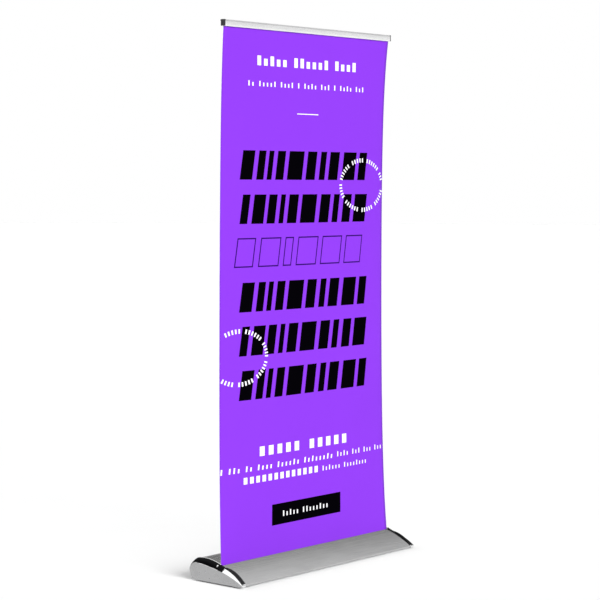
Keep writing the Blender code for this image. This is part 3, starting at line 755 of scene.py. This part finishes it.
def print_piece(name, patches, ink, layer=0):
    """Ink as thin slabs just in front of the film, layer 1 lying over layer 0."""
    mesh = bmesh.new()
    for corners in patches:
        slab(mesh, corners, (layer + 1) * PRINT_PROUD, layer * PRINT_PROUD + PRINT_GAP)
    piece = new_piece(name, mesh, "base", ink, ink)
    squash_with_rail(piece)
    stay_out_of_light(piece)


def slit_block(u0, u1, v0, share):
    """A slanted block with one slit as slanted as its sides, share of the way across."""
    slit = mix(u0, u1, share)
    left = patch(u0, v0, slit - BLOCK_SLIT / 2, v0 + BLOCK_HEIGHT, BLOCK_SLANT)
    right = patch(slit + BLOCK_SLIT / 2, v0, u1, v0 + BLOCK_HEIGHT, BLOCK_SLANT)
    return [left, right]


def make_block_rows():
    patches = []
    for row, v0 in enumerate(BLOCK_ROWS):
        for column, (u0, u1) in enumerate(BLOCKS):
            patches += slit_block(u0, u1, v0, SLIT_SHARES[(row + column) % 2])
    print_piece("print_block_rows", patches, INK_BLACK)


def frame_patches(u0, v0, u1, v1, slant, line):
    """Four strips round the edge of a slanted block."""
    side = line * OUTLINE_SIDE
    lean = slant * (v1 - v0 - line)
    return [
        patch(u0, v0, u1, v0 + line, slant),
        patch(u0 + lean, v1 - line, u1 + lean, v1, slant),
        patch(u0 + slant * line, v0 + line, u0 + side + slant * line, v1 - line, slant),
        patch(u1 - side + slant * line, v0 + line, u1 + slant * line, v1 - line, slant),
    ]


def make_outline_row():
    patches = []
    for u0, u1 in OUTLINE_BLOCKS:
        patches += frame_patches(u0, OUTLINE_ROW, u1, OUTLINE_ROW + BLOCK_HEIGHT, BLOCK_SLANT, OUTLINE)
    print_piece("print_outline_row", patches, INK_LINE)


def greeked(u0, u1, v0, height, words, slant=0.0, gap_share=0.34, low_share=0.72):
    """A line of writing shown as plain blocks: words says how many blocks each word has. The first block
    of a word and every fourth one are full height, the others low_share of it."""
    steps = sum(words) + (len(words) - 1) * WORD_GAP
    pitch = (u1 - u0) / steps
    patches = []
    u = u0
    count = 0
    for word in words:
        for place in range(word):
            tall = place == 0 or count % 4 == 2
            top = v0 + height * (1.0 if tall else low_share)
            patches.append(patch(u, v0, u + pitch * (1 - gap_share), top, slant))
            u += pitch
            count += 1
        u += pitch * WORD_GAP
    return patches


def make_white_lines():
    """Two lines and a short rule above the block rows; a line and two pairs of lines below them."""
    lines = greeked(0.190, 0.806, 1.863, 0.037, (5, 6, 4), gap_share=0.44)
    lines += greeked(0.140, 0.858, 1.784, 0.020, (2, 5, 4, 1, 4, 3, 1, 4, 3), gap_share=0.66)
    lines += [patch(0.423, 1.683, 0.553, 1.6865)]
    lines += greeked(0.211, 0.762, 0.382, 0.036, (5, 5), gap_share=0.46, low_share=1.0)
    lines += greeked(0.003, 0.662, 0.330, 0.021, (1, 3, 2, 4, 6, 8), 0.12, 0.66)
    lines += greeked(0.680, 0.997, 0.332, 0.020, (4, 3, 3, 3), gap_share=0.68)
    lines += greeked(0.124, 0.572, 0.284, 0.025, (13,), gap_share=0.42, low_share=1.0)
    lines += greeked(0.588, 0.885, 0.286, 0.019, (6, 8), gap_share=0.68)
    print_piece("print_white_lines", lines, INK_WHITE)


def ring_patches(centre_u, centre_v):
    """Short radial dashes round an ellipse, with a gap after each run, left out past the film's edges."""
    patches = []
    for tick in range(RING_TICKS):
        if tick % RING_RUN in RING_MISSING:
            continue
        turn = 2 * math.pi * tick / RING_TICKS
        half = math.pi / RING_TICKS * RING_DASH
        corners = []
        for angle, out in ((turn - half, -0.5), (turn + half, -0.5), (turn + half, 0.5), (turn - half, 0.5)):
            u = centre_u + math.cos(angle) * (RING_HALF[0] + out * RING_DEPTH)
            v = centre_v + math.sin(angle) * (RING_HALF[1] + out * RING_DEPTH)
            corners.append((u - HALF_WIDTH, SLOT_Z + v))
        if all(abs(x) < HALF_WIDTH - FILM_MARGIN for x, _ in corners):
            patches.append(corners)
    return patches


def make_rings():
    patches = [corners for centre in RING_CENTRES for corners in ring_patches(*centre)]
    print_piece("print_dash_rings", patches, INK_WHITE, 1)


def make_button():
    print_piece("print_button", [patch(0.284, 0.110, 0.700, 0.190)], INK_BLACK)
    line = greeked(0.348, 0.632, 0.139, 0.021, (5, 8), gap_share=0.66)
    print_piece("print_button_line", line, INK_WHITE, 1)


# ---------------------------------------------------------------- studio

FLOOR_RADIUS = 60
FLOOR_CORNERS = 96
FLOOR_COLOR = (0.94, 0.94, 0.94)
FLOOR_DARK = (0.935, 0.935, 0.935)
FLOOR_LIGHT = (0.945, 0.945, 0.945)
SUN_DISTANCE = 6
# Name, heading from +Y towards +X, height and spread in degrees, and strength
SUNS = (("key", 192, 19, 36, 4.6), ("side", 222, 35, 40, 1.1), ("back", 350, 28, 45, 1.2))
DOME = 0.22  # even light from all round
# What reflections see: the level below the horizon, and levels by the sine of the height above it
ROOM_FLOOR = 0.95
ROOM = ((0.10, 0.80), (0.22, 0.20), (0.46, 0.20), (0.56, 0.34), (0.64, 0.75), (0.72, 1.15))


def make_camera():
    flat = Vector((math.cos(CAMERA_HEADING), -math.sin(CAMERA_HEADING), 0))
    forward = Vector((
        math.sin(CAMERA_HEADING) * math.cos(CAMERA_PITCH),
        math.cos(CAMERA_HEADING) * math.cos(CAMERA_PITCH),
        math.sin(CAMERA_PITCH),
    ))
    level_up = flat.cross(forward)
    right = math.cos(CAMERA_ROLL) * flat + math.sin(CAMERA_ROLL) * level_up
    up = math.cos(CAMERA_ROLL) * level_up - math.sin(CAMERA_ROLL) * flat
    data = bpy.data.cameras.new("camera")
    data.lens = CAMERA_LENS
    data.sensor_width = CAMERA_SENSOR
    data.shift_y = CAMERA_SHIFT
    data.clip_start, data.clip_end = CAMERA_CLIP
    camera = bpy.data.objects.new("camera", data)
    turn = Matrix((right, up, -forward)).transposed().to_4x4()
    camera.matrix_world = Matrix.Translation(CAMERA_PLACE) @ turn
    bpy.context.scene.collection.objects.link(camera)
    bpy.context.scene.camera = camera


def make_floor():
    mesh = bmesh.new()
    bmesh.ops.create_circle(mesh, cap_ends=True, segments=FLOOR_CORNERS, radius=FLOOR_RADIUS)
    data = bpy.data.meshes.new("floor")
    mesh.to_mesh(data)
    mesh.free()
    floor = bpy.data.objects.new("floor", data)
    bpy.context.scene.collection.objects.link(floor)
    made = material("floor_paint", FLOOR_COLOR, 0.0, 0.9, Specular_IOR_Level=0.0)
    vary_color(made, noise(made.node_tree, (2, 2, 2)), FLOOR_DARK, FLOOR_LIGHT)
    paint(floor, made)


def soft_sun(name, heading, height, spread_angle, strength):
    """A broad even light that reflections don't show."""
    turn, rise = math.radians(heading), math.radians(height)
    way = Vector((math.cos(rise) * math.sin(turn), math.cos(rise) * math.cos(turn), math.sin(rise)))
    place = SUN_DISTANCE * way
    data = bpy.data.lights.new(name, "SUN")
    data.angle = math.radians(spread_angle)
    data.energy = strength
    light = bpy.data.objects.new(name, data)
    light.location = place
    light.visible_glossy = False
    light.rotation_mode = "QUATERNION"
    light.rotation_quaternion = (-place).to_track_quat("-Z", "Y")
    bpy.context.scene.collection.objects.link(light)


def make_world():
    """White for the camera, a soft dome for light; in reflections a darker room with a bright ceiling."""
    world = bpy.data.worlds.new("studio")
    bpy.context.scene.world = world
    world.use_nodes = True
    tree = world.node_tree
    tree.nodes.clear()
    place = tree.nodes.new("ShaderNodeTexCoord")
    split = tree.nodes.new("ShaderNodeSeparateXYZ")
    ramp = tree.nodes.new("ShaderNodeValToRGB")
    path = tree.nodes.new("ShaderNodeLightPath")
    blend = tree.nodes.new("ShaderNodeMix")
    blend.data_type = "RGBA"
    ground = tree.nodes.new("ShaderNodeBackground")
    out = tree.nodes.new("ShaderNodeOutputWorld")
    tree.links.new(place.outputs["Generated"], split.inputs[0])
    tree.links.new(split.outputs["Z"], ramp.inputs["Fac"])
    ramp.color_ramp.elements.remove(ramp.color_ramp.elements[1])
    ramp.color_ramp.elements[0].position = 0.0
    ramp.color_ramp.elements[0].color = (ROOM_FLOOR, ROOM_FLOOR, ROOM_FLOOR, 1)
    for height, level in ROOM:
        ramp.color_ramp.elements.new(height).color = (level, level, level, 1)
    tree.links.new(path.outputs["Is Glossy Ray"], blend.inputs["Factor"])
    blend.inputs["A"].default_value = (DOME, DOME, DOME, 1)
    tree.links.new(ramp.outputs["Color"], blend.inputs["B"])
    tree.links.new(blend.outputs["Result"], ground.inputs["Color"])
    ground.inputs["Strength"].default_value = 1.0
    backdrop = tree.nodes.new("ShaderNodeBackground")
    backdrop.inputs["Color"].default_value = (1.0, 1.0, 1.0, 1)
    choose = tree.nodes.new("ShaderNodeMixShader")
    tree.links.new(path.outputs["Is Camera Ray"], choose.inputs["Fac"])
    tree.links.new(ground.outputs["Background"], choose.inputs[1])
    tree.links.new(backdrop.outputs["Background"], choose.inputs[2])
    tree.links.new(choose.outputs["Shader"], out.inputs["Surface"])


make_camera()
paint_cad_nodes()
for side_name, side_sign in (("left", -1), ("right", 1)):
    make_cap_cover(side_name, side_sign)
    make_trim_insert(side_name, side_sign)
make_film()
make_block_rows()
make_outline_row()
make_white_lines()
make_rings()
make_button()
soften_cad_nodes()
make_floor()
make_world()
for sun in SUNS:
    soft_sun(*sun)

bpy.context.scene.view_settings.view_transform = "Standard"
